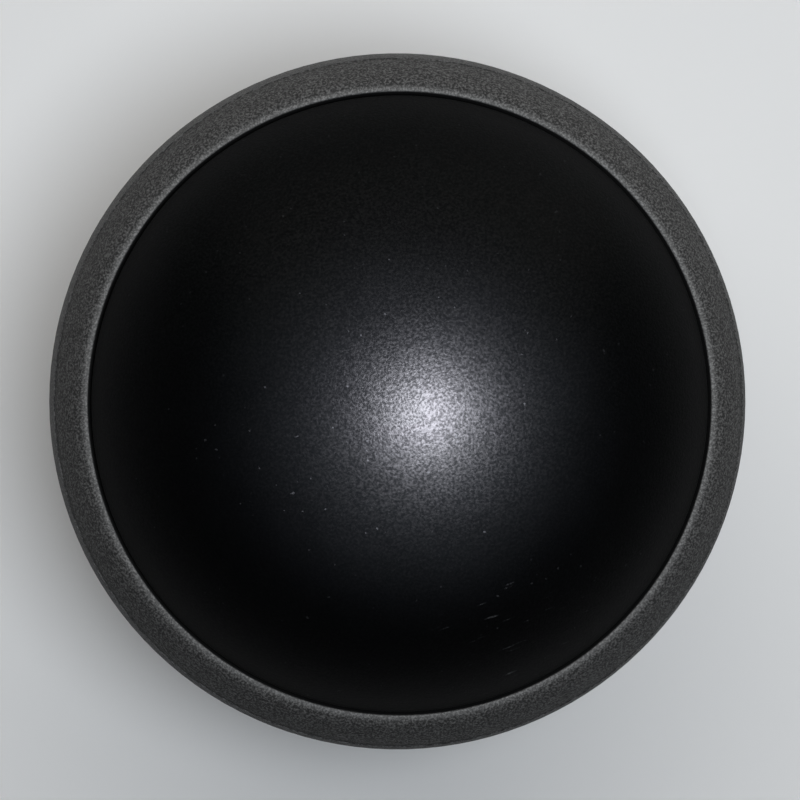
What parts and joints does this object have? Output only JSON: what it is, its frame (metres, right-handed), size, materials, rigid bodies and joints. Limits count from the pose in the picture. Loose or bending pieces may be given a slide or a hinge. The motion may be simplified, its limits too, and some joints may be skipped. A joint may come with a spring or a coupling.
{
  "type": "lawn bowl",
  "caption": "Biased lawn bowl lying on its side: plain satin black domed side caps set into a grained dark grey running band, blank bias disc beneath.",
  "frame": {"origin": "centre of the bias disc's flat outer face, which the bowl lies on; it is the bottom centre of the bounding box", "axes": "+Z is the bowl's axis of symmetry, which it turns about when it rolls, pointing out of the near side; X and Y lie in the surface it rests on"},
  "size_m": [0.124, 0.124, 0.11],
  "materials": {
    "core": "raw dense composite moulding, unseen",
    "running_band": "matt dark grey composite with fine light grains, rubbed lighter on the lip",
    "side_cap": "satin, very finely grained black",
    "bias_disc": "semi-gloss blank disc"
  },
  "bodies": {
    "root": {"core": "core", "running_band": "running_band", "near_side_cap": "side_cap", "far_side_cap": "side_cap", "bias_disc": "bias_disc"}
  },
  "joints": []
}
